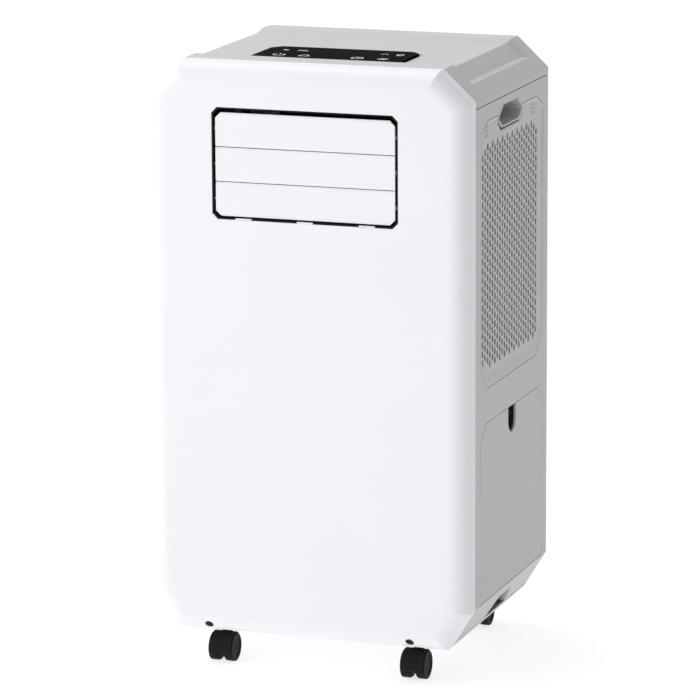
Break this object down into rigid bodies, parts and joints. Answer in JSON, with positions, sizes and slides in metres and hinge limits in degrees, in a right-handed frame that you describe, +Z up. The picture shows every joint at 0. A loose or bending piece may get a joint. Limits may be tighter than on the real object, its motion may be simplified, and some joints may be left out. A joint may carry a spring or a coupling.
{
  "type": "portable air conditioner",
  "caption": "Upright portable air conditioner with sloped corners, front louvre outlet, slotted side filter hatch, pull-out water tank and swivel casters.",
  "frame": {"origin": "on the floor under the middle of the cabinet", "axes": "+Z up, the white front and its air outlet face -Y, the filter hatch and water tank are on +X"},
  "size_m": [0.35, 0.284, 0.647],
  "materials": {
    "white_shell": "fine satin moulding",
    "grey_shell": "fine satin moulding",
    "base_grey": "fine satin moulding",
    "black_lens": "polished",
    "outlet_black": "matte",
    "caster_black": "matte",
    "duct_white": "matte",
    "fan_grey": "matte",
    "tank_clear": "translucent",
    "mesh_black": "woven",
    "motor_steel": "plated",
    "shell_black_paint": "semi gloss paint",
    "copper": "drawn tube",
    "fin_aluminium": "rolled foil",
    "galvanised": "galvanised",
    "board_green": "laminate",
    "capacitor_can": "drawn can",
    "rubber_black": "moulded",
    "screw_steel": "blackened"
  },
  "bodies": {
    "cabinet": {"front_cover": "white_shell", "right_side_panel": "grey_shell", "left_side_panel": "grey_shell", "rear_panel": "grey_shell", "top_cover": "grey_shell", "left_intake_grille": "grey_shell", "handle_cups": "grey_shell", "base_pan": "base_grey", "control_lens": "black_lens", "outlet_frame": "outlet_black", "side_vents": "outlet_black", "exhaust_collar": "outlet_black", "outlet_duct": "duct_white", "evap_scroll": "duct_white", "cond_scroll": "duct_white", "inlet_rings": "duct_white", "divider_deck": "duct_white", "evap_motor": "motor_steel", "cond_motor": "motor_steel", "louvre_motor": "motor_steel", "compressor": "shell_black_paint", "accumulator": "shell_black_paint", "coil_tubes": "copper", "discharge_pipe": "copper", "suction_pipe": "copper", "capillary_tube": "copper", "evap_coil": "fin_aluminium", "cond_coil": "fin_aluminium", "control_box": "galvanised", "main_board": "board_green", "display_board": "board_green", "run_capacitor": "capacitor_can", "compressor_mounts": "rubber_black", "cord_gland": "rubber_black", "shell_screws": "screw_steel"},
    "louvre_lower": {"louvre_lower": "white_shell"},
    "louvre_middle": {"louvre_middle": "white_shell"},
    "louvre_upper": {"louvre_upper": "white_shell"},
    "louvre_link": {"louvre_link": "outlet_black"},
    "vane_tie_bar": {"vane_tie_bar": "outlet_black"},
    "evap_blower": {"evap_wheel": "fan_grey"},
    "cond_blower": {"cond_wheel": "fan_grey"},
    "filter": {"filter_panel": "grey_shell", "filter_mesh": "mesh_black"},
    "tank": {"tank_front": "grey_shell", "water_tank": "tank_clear"},
    "drain_plug": {"drain_plug": "rubber_black"},
    "vane_1": {"vane_1": "outlet_black"},
    "vane_2": {"vane_2": "outlet_black"},
    "vane_3": {"vane_3": "outlet_black"},
    "vane_4": {"vane_4": "outlet_black"},
    "vane_5": {"vane_5": "outlet_black"},
    "swivel_front_left": {"caster_hood_front_left": "caster_black"},
    "wheels_front_left": {"caster_wheels_front_left": "caster_black"},
    "swivel_front_right": {"caster_hood_front_right": "caster_black"},
    "wheels_front_right": {"caster_wheels_front_right": "caster_black"},
    "swivel_rear_left": {"caster_hood_rear_left": "caster_black"},
    "wheels_rear_left": {"caster_wheels_rear_left": "caster_black"},
    "swivel_rear_right": {"caster_hood_rear_right": "caster_black"},
    "wheels_rear_right": {"caster_wheels_rear_right": "caster_black"}
  },
  "joints": [
    {"name": "louvre_lower_turn", "type": "hinge", "parent": "cabinet", "child": "louvre_lower", "pos_m": [0, -0.136, 0.50563], "axis": [1, 0, 0], "range_deg": [0, 65]},
    {"name": "louvre_middle_turn", "type": "hinge", "parent": "cabinet", "child": "louvre_middle", "pos_m": [0, -0.136, 0.5419], "axis": [1, 0, 0], "range_deg": [0, 65]},
    {"name": "louvre_upper_turn", "type": "hinge", "parent": "cabinet", "child": "louvre_upper", "pos_m": [0, -0.136, 0.57817], "axis": [1, 0, 0], "range_deg": [0, 65]},
    {"name": "louvre_link_turn", "type": "hinge", "parent": "louvre_middle", "child": "louvre_link", "pos_m": [0, -0.126, 0.5419], "axis": [1, 0, 0], "range_deg": [-65, 0]},
    {"name": "vane_1_turn", "type": "hinge", "parent": "cabinet", "child": "vane_1", "pos_m": [-0.0808, -0.092, 0.543], "axis": [0, 0, 1], "range_deg": [-30, 30]},
    {"name": "vane_2_turn", "type": "hinge", "parent": "cabinet", "child": "vane_2", "pos_m": [-0.0404, -0.092, 0.543], "axis": [0, 0, 1], "range_deg": [-30, 30]},
    {"name": "vane_3_turn", "type": "hinge", "parent": "cabinet", "child": "vane_3", "pos_m": [0, -0.092, 0.543], "axis": [0, 0, 1], "range_deg": [-30, 30]},
    {"name": "vane_4_turn", "type": "hinge", "parent": "cabinet", "child": "vane_4", "pos_m": [0.0404, -0.092, 0.543], "axis": [0, 0, 1], "range_deg": [-30, 30]},
    {"name": "vane_5_turn", "type": "hinge", "parent": "cabinet", "child": "vane_5", "pos_m": [0.0808, -0.092, 0.543], "axis": [0, 0, 1], "range_deg": [-30, 30]},
    {"name": "vane_tie_bar_turn", "type": "hinge", "parent": "vane_3", "child": "vane_tie_bar", "pos_m": [0, -0.084, 0.543], "axis": [0, 0, 1], "range_deg": [-30, 30]},
    {"name": "evap_blower_spin", "type": "hinge", "parent": "cabinet", "child": "evap_blower", "pos_m": [0.043, 0.024, 0.4732], "axis": [1, 0, 0], "continuous": true},
    {"name": "cond_blower_spin", "type": "hinge", "parent": "cabinet", "child": "cond_blower", "pos_m": [-0.092, -0.015, 0.18], "axis": [1, 0, 0], "continuous": true},
    {"name": "filter_pull", "type": "slide", "parent": "cabinet", "child": "filter", "axis": [1, 0, 0], "range_m": [0, 0.06]},
    {"name": "tank_pull", "type": "slide", "parent": "cabinet", "child": "tank", "axis": [1, 0, 0], "range_m": [0, 0.09]},
    {"name": "drain_plug_pull", "type": "slide", "parent": "cabinet", "child": "drain_plug", "axis": [0, 1, 0], "range_m": [0, 0.025]},
    {"name": "caster_front_left_swivel", "type": "hinge", "parent": "cabinet", "child": "swivel_front_left", "pos_m": [-0.1073, -0.095, 0.0395], "axis": [0, 0, 1], "continuous": true},
    {"name": "caster_front_left_roll", "type": "hinge", "parent": "swivel_front_left", "child": "wheels_front_left", "pos_m": [-0.1073, -0.104, 0.0152], "axis": [1, 0, 0], "continuous": true},
    {"name": "caster_front_right_swivel", "type": "hinge", "parent": "cabinet", "child": "swivel_front_right", "pos_m": [0.1073, -0.095, 0.0395], "axis": [0, 0, 1], "continuous": true},
    {"name": "caster_front_right_roll", "type": "hinge", "parent": "swivel_front_right", "child": "wheels_front_right", "pos_m": [0.1073, -0.104, 0.0152], "axis": [1, 0, 0], "continuous": true},
    {"name": "caster_rear_left_swivel", "type": "hinge", "parent": "cabinet", "child": "swivel_rear_left", "pos_m": [-0.1073, 0.105, 0.0395], "axis": [0, 0, 1], "continuous": true},
    {"name": "caster_rear_left_roll", "type": "hinge", "parent": "swivel_rear_left", "child": "wheels_rear_left", "pos_m": [-0.1073, 0.114, 0.0152], "axis": [1, 0, 0], "continuous": true},
    {"name": "caster_rear_right_swivel", "type": "hinge", "parent": "cabinet", "child": "swivel_rear_right", "pos_m": [0.1073, 0.105, 0.0395], "axis": [0, 0, 1], "continuous": true},
    {"name": "caster_rear_right_roll", "type": "hinge", "parent": "swivel_rear_right", "child": "wheels_rear_right", "pos_m": [0.1073, 0.114, 0.0152], "axis": [1, 0, 0], "continuous": true}
  ],
  "couplings": [
    {"joint": "louvre_lower_turn", "follows": "louvre_middle_turn", "ratio": 1},
    {"joint": "louvre_upper_turn", "follows": "louvre_middle_turn", "ratio": 1},
    {"joint": "louvre_link_turn", "follows": "louvre_middle_turn", "ratio": -1},
    {"joint": "vane_1_turn", "follows": "vane_3_turn", "ratio": 1},
    {"joint": "vane_2_turn", "follows": "vane_3_turn", "ratio": 1},
    {"joint": "vane_4_turn", "follows": "vane_3_turn", "ratio": 1},
    {"joint": "vane_5_turn", "follows": "vane_3_turn", "ratio": 1},
    {"joint": "vane_tie_bar_turn", "follows": "vane_3_turn", "ratio": -1}
  ]
}
